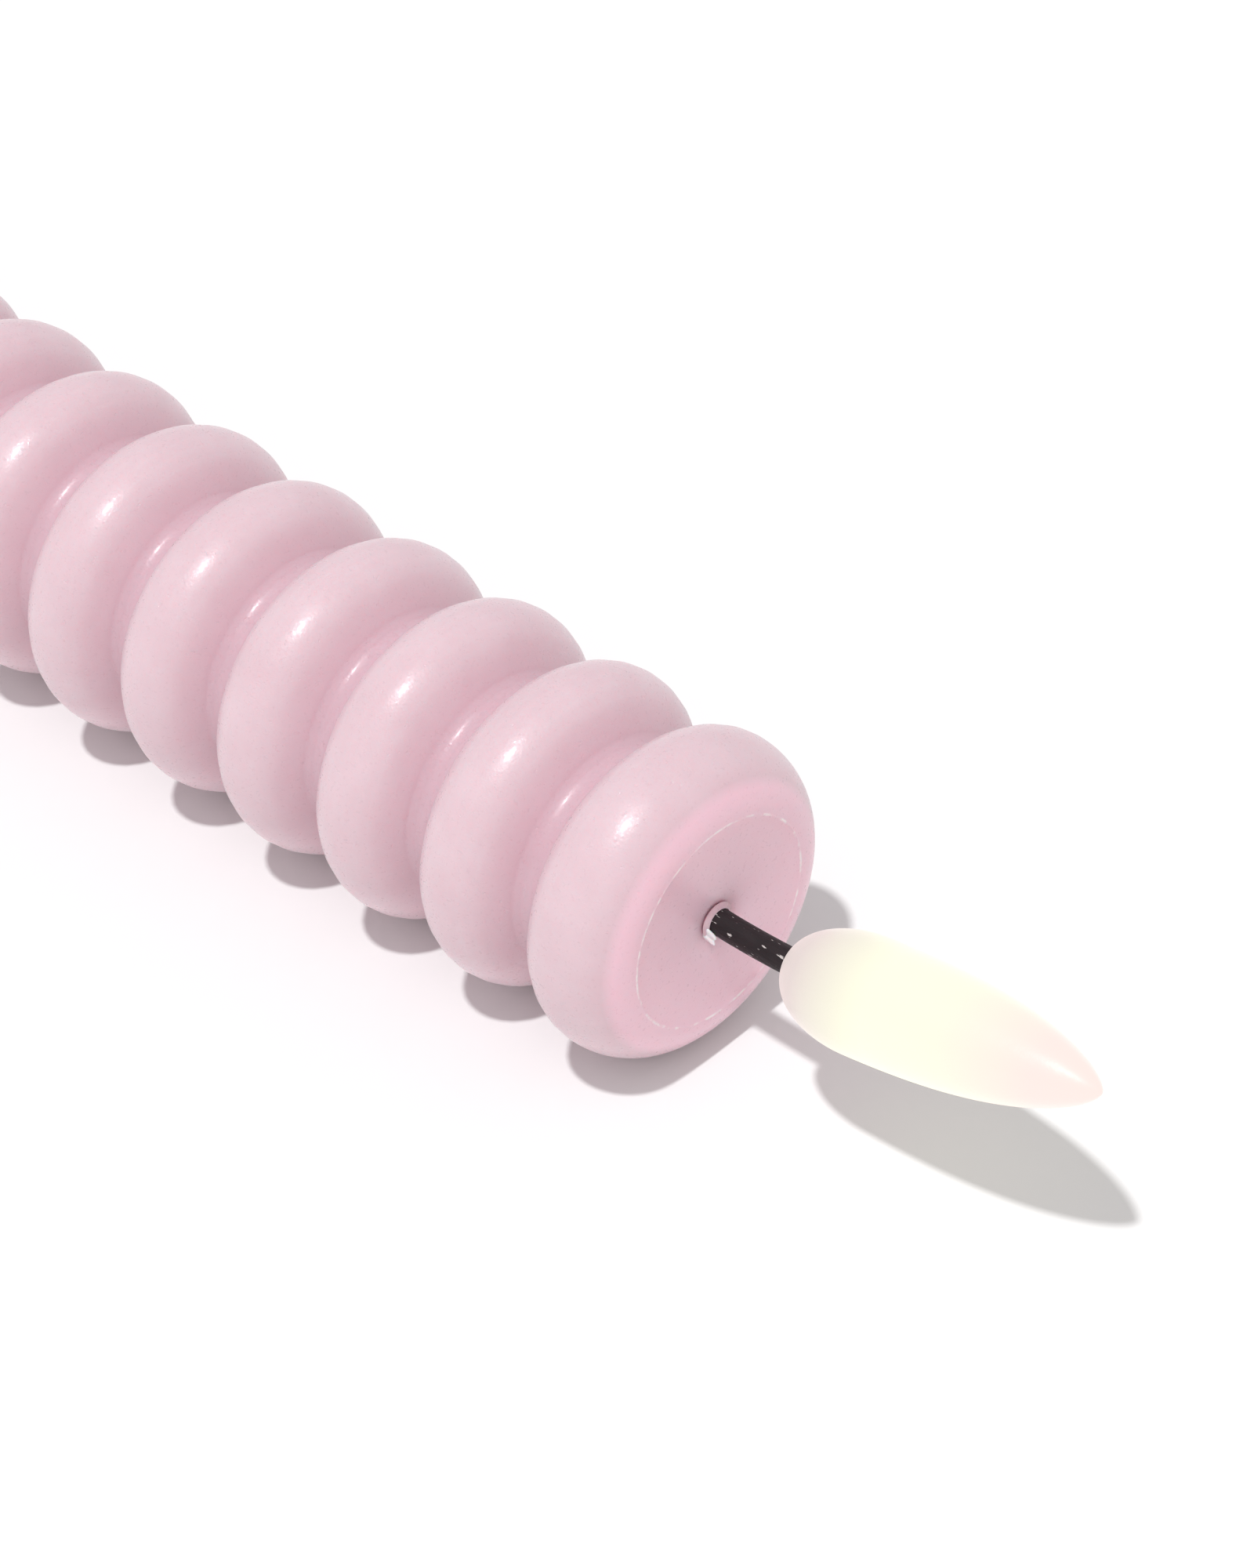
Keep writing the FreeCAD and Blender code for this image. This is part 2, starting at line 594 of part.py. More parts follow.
def flame_solid(low, high, wall):
    """The outline between two heights, moved in by wall and turned about Z."""
    steps = 14
    heights = [low + (high - low) * (1 - math.cos(math.pi * step / steps)) / 2 for step in range(steps)]
    side = [Vector(flame_radius(up) - wall, 0, up) for up in heights]
    side.append(Vector(value("flame_point / 2"), 0, high))
    curve = Part.BSplineCurve()
    curve.interpolate(side)
    foot_centre, top_centre = Vector(0, 0, low), Vector(0, 0, high)
    lines = [Part.makeLine(foot_centre, side[0]), curve.toShape(), Part.makeLine(side[-1], top_centre),
             Part.makeLine(top_centre, foot_centre)]
    return Part.Face(Part.Wire(lines)).revolve(Vector(0, 0, 0), Vector(0, 0, 1), 360)


# The taper follows a formula that no sketch arc fits, so the shell's Shape is computed.
shell_wall = value("flame_wall")
full_length = value("flame_length")
mouth = Part.makeCylinder(value("wick_dia / 2 + 4 * fit_gap"), 2 * shell_wall,
                          Vector(value("flame_left"), value(LAMP_Y), -shell_wall / 2))
flame = keep(doc.addObject("Part::Feature", "flame_tip"), "flame_tip")
hollow = flame_solid(shell_wall, full_length - 4 * shell_wall, shell_wall)
flame.Shape = flame_solid(0, full_length, 0).cut(hollow).cut(mouth)
on_flame(flame)

lamp = turned("led_body", [
    ("0", "0"),
    ("lamp_dia / 2 + 0.1", "0"),
    ("lamp_dia / 2 + 0.1", "0.8"),
    ("lamp_dia / 2", "0.8"),
    ("lamp_dia / 2", "lamp_length - lamp_dia / 2", "lamp_dia / 2", 1),
    ("0", "lamp_length"),
])
on_flame(lamp, "flame_left", LAMP_Y, "lamp_up")
leads = [on_flame(solid("Part::Cylinder", f"lead_{number}", Radius="lead_dia / 2", Height="lead_length"),
                  f"flame_left + {side} * lead_spread / 2", LAMP_Y, "lamp_up - lead_length")
         for number, side in enumerate((1, -1))]
keep(several("led_leads", leads), "led_leads")

# ---- the two cells ----

CELL_BODY = "( cell_length - button_height )"
for name, foot_height in (("lower", CELL_SEAT), ("upper", f"( {CELL_SEAT} + cell_length )")):
    can_radius = "cell_dia / 2 - cell_skin"
    top = f"{foot_height} + {CELL_BODY}"
    keep(rod(f"{name}_cell_case", f"{can_radius} - fit_gap / 2", CELL_BODY, z=foot_height),
         f"{name}_cell_case")
    skin = rod(f"{name}_skin", "cell_dia / 2", f"{CELL_BODY} - 0.6", z=f"{foot_height} + 0.3")
    skin_bore = rod(f"{name}_skin_bore", can_radius, CELL_BODY, z=foot_height)
    keep(cut(f"{name}_cell_sleeve", skin, skin_bore), f"{name}_cell_sleeve")
    keep(rod(f"{name}_cell_button", "button_dia / 2", "button_height", z=top), f"{name}_cell_button")
    washer = rod(f"{name}_washer", "cell_dia / 2 - 0.9", "0.2", z=top)
    washer_hole = rod(f"{name}_washer_hole", "button_dia / 2 + 2 * fit_gap", "0.2", z=top)
    keep(cut(f"{name}_cell_washer", washer, washer_hole), f"{name}_cell_washer")

# ---- the switch cap ----

cap = turned("base_cap", [
    ("cap_recess_dia / 2", "0"),
    ("cap_dia / 2", "0"),
    ("cap_dia / 2", CAP_TOP),
    ("cup_dia / 2", CAP_TOP),
    ("cup_dia / 2", f"{CAP_TOP} + cup_height"),
    ("0", f"{CAP_TOP} + cup_height"),
    ("0", "cap_rim"),
    ("cap_recess_dia / 2", "cap_rim"),
])
lugs = new_sketch(cap, "YZ_Plane", "lugs")
disc(lugs, "0", "thread_top - thread_lead * lug_lag / 360", "lug_dia / 2")
pad(cap, lugs, "collar_bore + 2 * thread_depth - 2 * lug_gap", middle=True)
cup = new_sketch(cap, "XZ_Plane", "cup_inside")
box_outline(cup, "0", CAP_TOP, "cup_dia / 2 - cup_wall", f"{CAP_TOP} + cup_height")
spin(cap, cup, "PartDesign::Groove")
posts = new_sketch(cap, "XY_Plane", "posts", CAP_TOP)
disc(posts, "0", "post_spread / 2", "post_dia / 2")
disc(posts, "0", "0 - post_spread / 2", "post_dia / 2")
pad(cap, posts, "switch_height + frame_sheet")
pilots = new_sketch(cap, "XY_Plane", "screw_pilots", f"{CAP_TOP} + 0.6")
disc(pilots, "0", "post_spread / 2", "screw_dia / 2 + fit_gap")
disc(pilots, "0", "0 - post_spread / 2", "screw_dia / 2 + fit_gap")
pocket(cap, pilots, "switch_height + frame_sheet - 0.6")
knob_slot = new_sketch(cap, "XY_Plane", "knob_slot", "cap_rim")
KNOB_WAY = "( ( knob_length + travel ) / 2 + slide_gap )"
KNOB_SIDE = "( knob_width / 2 + slide_gap )"
box_outline(knob_slot, f"0 - {KNOB_WAY}", f"0 - {KNOB_SIDE}", KNOB_WAY, KNOB_SIDE)
pocket(cap, knob_slot, "cap_floor")

switch = new_body("switch_body")
housing = new_sketch(switch, "XY_Plane", "housing", CAP_TOP)
box_outline(housing, "0 - switch_length / 2", "0 - switch_width / 2", "switch_length / 2",
            "switch_width / 2")
pad(switch, housing, "switch_height")
way = new_sketch(switch, "XY_Plane", "knob_way", CAP_TOP)
box_outline(way, f"0 - {KNOB_WAY}", f"0 - {KNOB_SIDE}", KNOB_WAY, KNOB_SIDE)
CARRIAGE_LOW = f"( {CAP_TOP} + 1.2 )"
pocket(switch, way, "1.2")
chamber = new_sketch(switch, "XY_Plane", "chamber", CARRIAGE_LOW)
CHAMBER = "( ( carriage_length + travel ) / 2 + slide_gap )"
box_outline(chamber, f"0 - {CHAMBER}", f"0 - {KNOB_SIDE}", CHAMBER, KNOB_SIDE)
pocket(switch, chamber, "carriage_height + 2 * slide_gap")

FRAME_IN = "( switch_width / 2 + fit_gap )"
FRAME_OUT = f"( {FRAME_IN} + frame_sheet )"
strip("switch_frame", [
    (f"0 - {FRAME_OUT}", f"{CAP_TOP} + 0.8"),
    (f"0 - {FRAME_IN}", f"{CAP_TOP} + 0.8"),
    (f"0 - {FRAME_IN}", f"{FRAME_TOP} - frame_sheet"),
    (FRAME_IN, f"{FRAME_TOP} - frame_sheet"),
    (FRAME_IN, f"{CAP_TOP} + 0.8"),
    (FRAME_OUT, f"{CAP_TOP} + 0.8"),
    (FRAME_OUT, FRAME_TOP),
    (f"0 - {FRAME_OUT}", FRAME_TOP),
], "switch_length - 0.4", "YZ_Plane")
pins = [block(f"pin_{number}", "0.5", "0.8", "retainer_thick - 0.1", x=f"( {number} - 1 ) * 2",
              z=FRAME_TOP) for number in range(3)]
keep(several("switch_pins", pins), "switch_pins")

retainer = new_body("switch_retainer")
retainer_round = new_sketch(retainer, "XY_Plane", "retainer_round", FRAME_TOP)
disc(retainer_round, "0", "0", "retainer_dia / 2")
box_outline(retainer_round, "-2.7", "-0.8", "2.7", "0.8")
disc(retainer_round, "0", "post_spread / 2", "screw_dia / 2 + fit_gap")
disc(retainer_round, "0", "0 - post_spread / 2", "screw_dia / 2 + fit_gap")
pad(retainer, retainer_round, "retainer_thick")
sinks = new_sketch(retainer, "XY_Plane", "screw_sinks", f"{RETAINER_TOP} - 0.7")
disc(sinks, "0", "post_spread / 2", "screw_head / 2 + fit_gap")
disc(sinks, "0", "0 - post_spread / 2", "screw_head / 2 + fit_gap")
pocket(retainer, sinks, "0.7")
screws = []
for side in (1, -1):
    screw_y = f"{side} * post_spread / 2"
    shank = rod(f"shank_{side + 1}", "screw_dia / 2", "3.4", y=screw_y, z=f"{RETAINER_TOP} - 4")
    head = rod(f"head_{side + 1}", "screw_head / 2", "0.6", y=screw_y, z=f"{RETAINER_TOP} - 0.7")
    screws.append(joined(f"screw_{side + 1}", [shank, head]))
keep(several("retainer_screws", screws), "retainer_screws")

keep(rod("spring_plate", "plate_dia / 2", "plate_thick", z=RETAINER_TOP), "spring_plate")
coil = doc.addObject("Part::Helix", "coil_path")
coil.setExpression("Radius", named("spring_dia / 2"))
coil.setExpression("Height", named("spring_height - spring_wire"))
coil.setExpression("Pitch", named("( spring_height - spring_wire ) / spring_turns"))
wire = doc.addObject("Part::Circle", "coil_wire")
wire.Placement.Rotation = FreeCAD.Rotation(Vector(1, 0, 0), 90)
wire.setExpression("Radius", named("spring_wire / 2"))
wire.setExpression("Placement.Base.x", named("spring_dia / 2"))
spring = doc.addObject("Part::Sweep", "negative_spring")
spring.Sections = [wire]
spring.Spine = (coil, [])
spring.Solid = True
spring.Frenet = True
spring.setExpression("Placement.Base.z", named(f"{SPRING_SEAT} + spring_wire / 2"))
keep(spring, "negative_spring")

TAB_FOOT = "( plate_dia / 2 - 1.6 )"
TAB_RISE = "( plate_dia / 2 )"
TAB_TIP = f"( {RING_LOW} - fit_gap )"
strip("cap_contact_tab", [
    (TAB_FOOT, SPRING_SEAT),
    (f"{TAB_RISE} + strip_thick", SPRING_SEAT),
    (f"{TAB_RISE} + strip_thick", f"{TAB_TIP} - 0.8"),
    (f"{TAB_RISE} + 1.3", f"{TAB_TIP} - strip_thick"),
    (f"{TAB_RISE} + 1.3", TAB_TIP),
    (TAB_RISE, f"{TAB_TIP} - 0.6"),
    (TAB_RISE, f"{SPRING_SEAT} + strip_thick"),
    (TAB_FOOT, f"{SPRING_SEAT} + strip_thick"),
], "strip_width")

knob = new_body("switch_knob")
stem = new_sketch(knob, "XY_Plane", "stem", "knob_sink")
box_outline(stem, "0 - ( knob_length + travel ) / 2", "0 - knob_width / 2",
            "( knob_length - travel ) / 2", "knob_width / 2")
pad(knob, stem, f"{CARRIAGE_LOW} + slide_gap - knob_sink")
carriage = new_sketch(knob, "XY_Plane", "carriage", f"{CARRIAGE_LOW} + slide_gap")
box_outline(carriage, "0 - ( carriage_length + travel ) / 2", "0 - knob_width / 2",
            "( carriage_length - travel ) / 2", "knob_width / 2")
pad(knob, carriage, "carriage_height")

# ---- check and write ----

doc.recompute()
for thing in doc.Objects:
    if "Invalid" in thing.State or "Error" in thing.State:
        raise ValueError(f"{thing.Label} did not build: {thing.State}")
os.makedirs("parts", exist_ok=True)
for thing in sub_parts:
    if thing.Shape.isNull() or not thing.Shape.isValid():
        raise ValueError(f"{thing.Label} has no valid shape")
for thing in sub_parts:
    thing.Shape.exportStep(f"parts/{thing.Label}.step")
    print(f"{thing.Label:22s} solids {len(thing.Shape.Solids)}  volume {thing.Shape.Volume:10.2f} mm3")
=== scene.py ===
# %% [markdown]
# # A flameless dinner candle
# The frame holds the candle at its real size, standing on its foot, in metres. This script gives every
# piece its surface, and models the wax, the flame and the bits of dried glue that the frame keeps plain.

# %% Load the frame
import bpy
import math
from mathutils import Matrix, Vector


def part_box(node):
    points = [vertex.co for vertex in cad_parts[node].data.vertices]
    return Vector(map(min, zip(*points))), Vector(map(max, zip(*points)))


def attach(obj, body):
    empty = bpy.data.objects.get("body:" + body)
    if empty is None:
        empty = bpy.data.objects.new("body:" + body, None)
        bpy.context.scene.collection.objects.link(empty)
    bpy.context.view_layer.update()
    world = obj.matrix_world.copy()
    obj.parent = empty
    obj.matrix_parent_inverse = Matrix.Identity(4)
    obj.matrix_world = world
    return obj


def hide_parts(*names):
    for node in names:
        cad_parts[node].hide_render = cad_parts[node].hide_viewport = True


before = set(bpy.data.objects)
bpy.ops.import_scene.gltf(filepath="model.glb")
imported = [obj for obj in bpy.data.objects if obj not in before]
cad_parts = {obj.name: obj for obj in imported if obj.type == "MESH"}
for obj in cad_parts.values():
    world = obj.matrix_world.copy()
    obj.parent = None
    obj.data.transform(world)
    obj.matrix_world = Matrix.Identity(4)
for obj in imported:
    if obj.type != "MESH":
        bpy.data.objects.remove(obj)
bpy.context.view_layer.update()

# %% [markdown]
# ## Sizes
# The wax's own box gives the rings' radius and the height of the seam, so the model follows the frame.

# %% Read the sizes
MM = 0.001
wax_low, wax_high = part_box("wax_body")
CREST = wax_high[0]
SEAM = wax_high[2]
FOOT_FACE = wax_low[2]
PITCH = 10.65 * MM
RINGS = 18
FOOT_LENGTH = 20 * MM
FOOT_RADIUS = 11 * MM
CREST_ROUND = 4 * MM
GROOVE = 3.89 * MM
SEAM_RADIUS = 8.3 * MM
WICK_HOLE = 1.1 * MM
WICK_HOLE_DEPTH = 8.2 * MM
WAX_BORE = 6.75 * MM
BORE_START = 18.0 * MM
FOOT_BORE = 10.05 * MM
FOOT_BORE_TOP = 13.2 * MM
FOOT_CHAMFER = 0.3 * MM
DISH_DEPTH = 0.2 * MM
VALLEY = CREST - GROOVE
LAST_CREST = FOOT_LENGTH + PITCH * (RINGS - 0.5)
FILLET = (GROOVE ** 2 + (PITCH / 2) ** 2) / (2 * GROOVE) - CREST_ROUND
print("rings", RINGS, "last crest at", round(LAST_CREST / MM, 2), "mm")

# %% [markdown]
# ## Turning an outline
# Every round piece is half an outline, spun about the Z axis, welded where it closes, with its
# normals turned outward.


# %% Spin tool
def activate(piece):
    bpy.ops.object.select_all(action="DESELECT")
    piece.select_set(True)
    bpy.context.view_layer.objects.active = piece


def spun(name, outline, steps=180):
    """A closed piece from (radius, height) pairs; the outline closes on itself or on the axis."""
    mesh = bpy.data.meshes.new(name)
    points = [(radius, 0, height) for radius, height in outline]
    edges = [(number, number + 1) for number in range(len(points) - 1)]
    if outline[0][0] > 0 and outline[-1][0] > 0:
        edges.append((len(points) - 1, 0))
    mesh.from_pydata(points, edges, [])
    piece = bpy.data.objects.new(name, mesh)
    bpy.context.scene.collection.objects.link(piece)
    activate(piece)
    bpy.ops.object.mode_set(mode="EDIT")
    bpy.ops.mesh.select_all(action="SELECT")
    bpy.ops.mesh.spin(steps=steps, angle=2 * math.pi, center=(0, 0, 0), axis=(0, 0, 1))
    bpy.ops.mesh.select_all(action="SELECT")
    bpy.ops.mesh.remove_doubles(threshold=0.000002)
    bpy.ops.mesh.normals_make_consistent(inside=False)
    bpy.ops.object.mode_set(mode="OBJECT")
    bpy.ops.object.shade_smooth_by_angle(angle=math.radians(40))
    print(name, "faces", len(mesh.polygons))
    return piece


# %% [markdown]
# ## The wax
# A ring's side is two tangent arcs: the bulge of the crest and a small fillet in the valley. The last
# ring rounds over to a fine seam, and the end face falls in a shallow dish to a dimple at the wick.


# %% Wax outline
def ring_radius(offset):
    """Radius of the wax at a distance along the axis from a crest."""
    offset = abs(offset)
    touch = PITCH / 2 * CREST_ROUND / (CREST_ROUND + FILLET)
    if offset < touch:
        return CREST - CREST_ROUND + math.sqrt(CREST_ROUND ** 2 - offset ** 2)
    return VALLEY + FILLET - math.sqrt(FILLET ** 2 - (PITCH / 2 - offset) ** 2)


ROWS = 18
FOOT_ROWS = 6
SHOULDER_ROWS = 8
FRONT_ROWS = 21
shoulder = FOOT_RADIUS - VALLEY
shoulder_foot = FOOT_LENGTH - shoulder - CREST_ROUND * 0.3
wax_line = [(FOOT_RADIUS - FOOT_CHAMFER, FOOT_FACE), (FOOT_RADIUS, FOOT_FACE + FOOT_CHAMFER)]
for part in range(1, FOOT_ROWS):
    wax_line.append((FOOT_RADIUS, FOOT_FACE + (shoulder_foot - FOOT_FACE) * part / FOOT_ROWS))
for part in range(SHOULDER_ROWS + 1):
    turn = math.pi / 2 * part / SHOULDER_ROWS
    wax_line.append((VALLEY + shoulder * math.cos(turn), shoulder_foot + shoulder * math.sin(turn)))
for ring in range(RINGS):
    crest = FOOT_LENGTH + PITCH * (ring + 0.5)
    last_row = ROWS // 2 if ring == RINGS - 1 else ROWS - 1
    for row in range(last_row + 1):
        offset = -PITCH / 2 * math.cos(math.pi * row / ROWS)
        wax_line.append((ring_radius(offset), crest + offset))
front_drop = CREST - SEAM_RADIUS
front_rise = SEAM - LAST_CREST
for part in range(1, FRONT_ROWS):
    turn = math.pi / 2 * part / FRONT_ROWS
    radius = CREST - front_drop * (1 - math.cos(turn))
    wax_line.append((radius, LAST_CREST + front_rise * math.sin(turn)))
DISH = SEAM - DISH_DEPTH
wax_line += [
    (SEAM_RADIUS + 0.08 * MM, SEAM - 0.03 * MM),
    (SEAM_RADIUS, SEAM),
    (SEAM_RADIUS - 0.08 * MM, SEAM - 0.03 * MM),
    (SEAM_RADIUS - 0.2 * MM, SEAM - 0.06 * MM),
    (SEAM_RADIUS - 1.0 * MM, SEAM - 0.08 * MM),
    (5.5 * MM, SEAM - 0.12 * MM),
    (3.6 * MM, SEAM - 0.17 * MM),
    (2.6 * MM, DISH - 0.03 * MM),
    (2.0 * MM, DISH - 0.12 * MM),
    (1.5 * MM, DISH - 0.26 * MM),
    (WICK_HOLE, DISH - 0.32 * MM),
    (WICK_HOLE, SEAM - WICK_HOLE_DEPTH),
    (WAX_BORE, SEAM - WICK_HOLE_DEPTH),
    (WAX_BORE, BORE_START),
    (FOOT_BORE, FOOT_BORE_TOP),
    (FOOT_BORE, FOOT_FACE),
]
wax = spun("wax_rings", wax_line)
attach(wax, "candle")
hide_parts("wax_body")

# %% [markdown]
# ## The flame
# The frosted tip swells to a belly close to its base and tapers to a blunt point. It is turned upright,
# then leaned on the wick and carried to its place.

# %% Flame
FLAME_RADIUS = 4.28 * MM
FLAME_LENGTH = 27.4 * MM
FLAME_BASE = 0.9 * MM
FLAME_START = 0.35 * MM
BELLY_TO_TIP_POWER = 2.5
TIP_ROUNDING = 0.67
BELLY = 6.77 * MM
TILT = math.radians(12.1)
FLAME_FOOT = Vector((-0.53 * MM, 0.53 * MM, SEAM + 6.6 * MM))


def flame_radius(up):
    """Radius of the flame at a height above its base: an ellipse, then a blunt taper."""
    if up < BELLY:
        return FLAME_BASE + (FLAME_RADIUS - FLAME_BASE) * math.sqrt(1 - (1 - up / BELLY) ** 2)
    share = (up - BELLY) / (FLAME_LENGTH - BELLY)
    return FLAME_RADIUS * (1 - share ** BELLY_TO_TIP_POWER) ** TIP_ROUNDING


FLAME_ROWS = 60
flame_line = [(0, FLAME_START)]
for row in range(FLAME_ROWS):
    share = (1 - math.cos(math.pi * row / FLAME_ROWS)) / 2
    up = FLAME_START + (FLAME_LENGTH - FLAME_START) * share
    flame_line.append((flame_radius(up), up))
flame_line.append((0, FLAME_LENGTH - 0.02 * MM))
flame = spun("flame_glow", flame_line, 96)
along = flame.data.attributes.new("along", "FLOAT", "POINT")
for vertex in flame.data.vertices:
    along.data[vertex.index].value = vertex.co.z / FLAME_LENGTH
flame.data.transform(Matrix.Translation(FLAME_FOOT) @ Matrix.Rotation(TILT, 4, "X"))
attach(flame, "candle")
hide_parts("flame_tip")

# %% [markdown]
# ## A shred of wax
# Where the wick was pushed in, a torn curl of pale wax stands against its foot.

# %% Shred
SHRED_FOOT = Vector((1.05 * MM, 0.62 * MM, SEAM - 0.15 * MM))
SHRED_RADIUS = 0.42 * MM
bpy.ops.object.select_all(action="DESELECT")
bpy.ops.mesh.primitive_ico_sphere_add(subdivisions=4, radius=SHRED_RADIUS)
shred = bpy.context.object
shred.name = "wax_shred"
for vertex in shred.data.vertices:
    spot = vertex.co / MM
    rag = 1 + 0.3 * math.sin(9 * spot.x + 4 * spot.z) + 0.22 * math.sin(13 * spot.y - 7 * spot.z)
    vertex.co = Vector((spot.x * 0.55, spot.y * 1.25 + 0.3 * spot.z ** 2, spot.z * 1.2)) * rag * MM
shred.data.transform(Matrix.Translation(SHRED_FOOT))
bpy.ops.object.shade_smooth()
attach(shred, "candle")
print("shred faces", len(shred.data.polygons))

# %% [markdown]
# ## Shader tools
# A small wrapper lets shader maths read as plain Python.


# %% Shader wrapper
class Wire:
    """One output socket, with arithmetic that adds Math nodes."""

    def __init__(self, graph, socket):
        self.graph = graph
        self.socket = socket

    def join(self, kind, other, swap=False):
        pair = (other, self) if swap else (self, other)
        return self.graph.node("ShaderNodeMath", {0: pair[0], 1: pair[1]}, operation=kind)

    def __add__(self, other):
        return self.join("ADD", other)

    def __sub__(self, other):
        return self.join("SUBTRACT", other)

    def __rsub__(self, other):
        return self.join("SUBTRACT", other, swap=True)

    def __mul__(self, other):
        return self.join("MULTIPLY", other)

    __radd__ = __add__
    __rmul__ = __mul__


class Graph:
    """A material with one Principled shader, and short ways to add nodes."""

    def __init__(self, name, **settings):
        self.material = bpy.data.materials.new(name)
        self.material.use_nodes = True
        self.tree = self.material.node_tree
        self.surface = self.tree.nodes["Principled BSDF"]
        for socket, setting in settings.items():
            self.surface.inputs[socket.replace("_", " ")].default_value = setting
        self.place = self.node("ShaderNodeTexCoord", {}, out="Object")

    def feed(self, socket, thing):
        if isinstance(thing, Wire):
            self.tree.links.new(thing.socket, socket)
        else:
            socket.default_value = thing

    def node(self, kind, inputs, out=0, **settings):
        made = self.tree.nodes.new(kind)
        for name, setting in settings.items():
            setattr(made, name, setting)
        for name, thing in inputs.items():
            self.feed(made.inputs[name], thing)
        return Wire(self, made.outputs[out])

    def noise(self, scale, detail=4, rough=0.55):
        return self.node("ShaderNodeTexNoise", {"Vector": self.place, "Scale": scale, "Detail": detail,
                                                "Roughness": rough})

    def ramp(self, factor, low, high, start=0.0, end=1.0):
        """Clamped change from one number to another as the factor passes start to end."""
        return self.node("ShaderNodeMapRange", {"Value": factor, "From Min": start, "From Max": end,
                                                "To Min": low, "To Max": high})

    def mix(self, factor, first, second):
        made = self.tree.nodes.new("ShaderNodeMix")
        made.data_type = "RGBA"
        self.feed(made.inputs["Factor"], factor)
        for name, thing in (("A", first), ("B", second)):
            socket = [item for item in made.inputs if item.name == name and item.type == "RGBA"][0]
            self.feed(socket, thing if isinstance(thing, Wire) else (*thing, 1))
        return Wire(self, [item for item in made.outputs if item.type == "RGBA"][0])

    def bump(self, height, distance, strength=1.0):
        return self.node("ShaderNodeBump", {"Height": height, "Distance": distance,
                                            "Strength": strength}, out="Normal")

    def set(self, socket, thing):
        self.feed(self.surface.inputs[socket], thing)


def coat(material, *pieces):
    for piece in pieces:
        piece.data.materials.clear()
        piece.data.materials.append(material)


# %% [markdown]
# ## Wax
# Cloudy pink wax: soft mottling, painted shade down in the grooves and in the dimple round the wick, a
# paler pink on the end face that is painted light, fine pits and a pale broken seam.

# %% Wax material
CLOUD_DARK = (0.715, 0.54, 0.59)
CLOUD_LIGHT = (0.74, 0.575, 0.625)
GROOVE_PAINTED_SHADE = (0.70, 0.44, 0.51)
FACE_PAINTED_LIGHT = (0.88, 0.58, 0.675)
DIMPLE_PAINTED_SHADE = (0.80, 0.45, 0.53)
SEAM_PALE = (0.93, 0.86, 0.86)
wax_look = Graph("pink_wax", Subsurface_Weight=0.6, Subsurface_Scale=0.004, Roughness=0.45, IOR=1.44,
                 Coat_Weight=0.2, Coat_Roughness=0.2,
                 Subsurface_Radius=(1.0, 0.45, 0.5))
across = wax_look.node("ShaderNodeSeparateXYZ", {"Vector": wax_look.place}, out="X")
splitter = across.socket.node
deeper = Wire(wax_look, splitter.outputs["Y"])
height = Wire(wax_look, splitter.outputs["Z"])
squares = across * across + deeper * deeper
reach = wax_look.node("ShaderNodeMath", {0: squares, 1: 0.5}, operation="POWER")
# Painted shade: the wax is coloured a darker pink down in the grooves, where shade falls.
depth = wax_look.ramp(reach, 1.0, 0.0, VALLEY, CREST - 0.6 * MM)
on_face = wax_look.ramp(height, 0.0, 1.0, SEAM - 1.0 * MM, SEAM - 0.5 * MM)
painted_groove_shade = depth * (1 - on_face)
mottle = wax_look.noise(260, 5)
cloud = wax_look.mix(wax_look.ramp(mottle, 0, 1, 0.35, 0.7), CLOUD_DARK, CLOUD_LIGHT)
deep = wax_look.mix(painted_groove_shade * 0.75, cloud, GROOVE_PAINTED_SHADE)
# Painted light: the end face is coloured a paler, stronger pink that stands in for light glowing through
# the wax.
face = wax_look.mix(on_face * 0.8, deep, FACE_PAINTED_LIGHT)
# Painted shade: the wax in the dimple round the wick is coloured a darker pink, the shade on its walls and
# the wick's shadow.
wick_shade_mask = wax_look.ramp(reach, 1.0, 0.0, 1.2 * MM, 2.6 * MM) * on_face
with_dimple_shade = wax_look.mix(wick_shade_mask * 0.6, face, DIMPLE_PAINTED_SHADE)
inner_edge = wax_look.ramp(reach, 0.0, 1.0, SEAM_RADIUS - 0.14 * MM, SEAM_RADIUS - 0.05 * MM)
outer_edge = wax_look.ramp(reach, 1.0, 0.0, SEAM_RADIUS + 0.05 * MM, SEAM_RADIUS + 0.14 * MM)
broken = wax_look.ramp(wax_look.noise(900, 3), 0, 1, 0.45, 0.6)
seam_line = inner_edge * outer_edge * on_face * broken * 0.8
wax_look.set("Base Color", wax_look.mix(seam_line, with_dimple_shade, SEAM_PALE))
wax_look.set("Roughness", wax_look.ramp(wax_look.noise(3500, 4), 0.22, 0.52, 0.3, 0.7))
pits = wax_look.ramp(wax_look.noise(2600, 2), 1.0, 0.0, 0.66, 0.74)
skin = wax_look.noise(700, 6) * 0.5 + wax_look.noise(5000, 3) * 0.25 + pits * 0.35 + wax_look.noise(120, 2)
wax_look.set("Normal", wax_look.bump(skin, 0.00012, 0.6))
coat(wax_look.material, wax)
print("wax nodes", len(wax_look.tree.nodes))

# %% [markdown]
# ## Flame
# The lamp inside lights the frosted shell most strongly a little above the belly; the base stays greyer
# and the tip turns faintly pink.

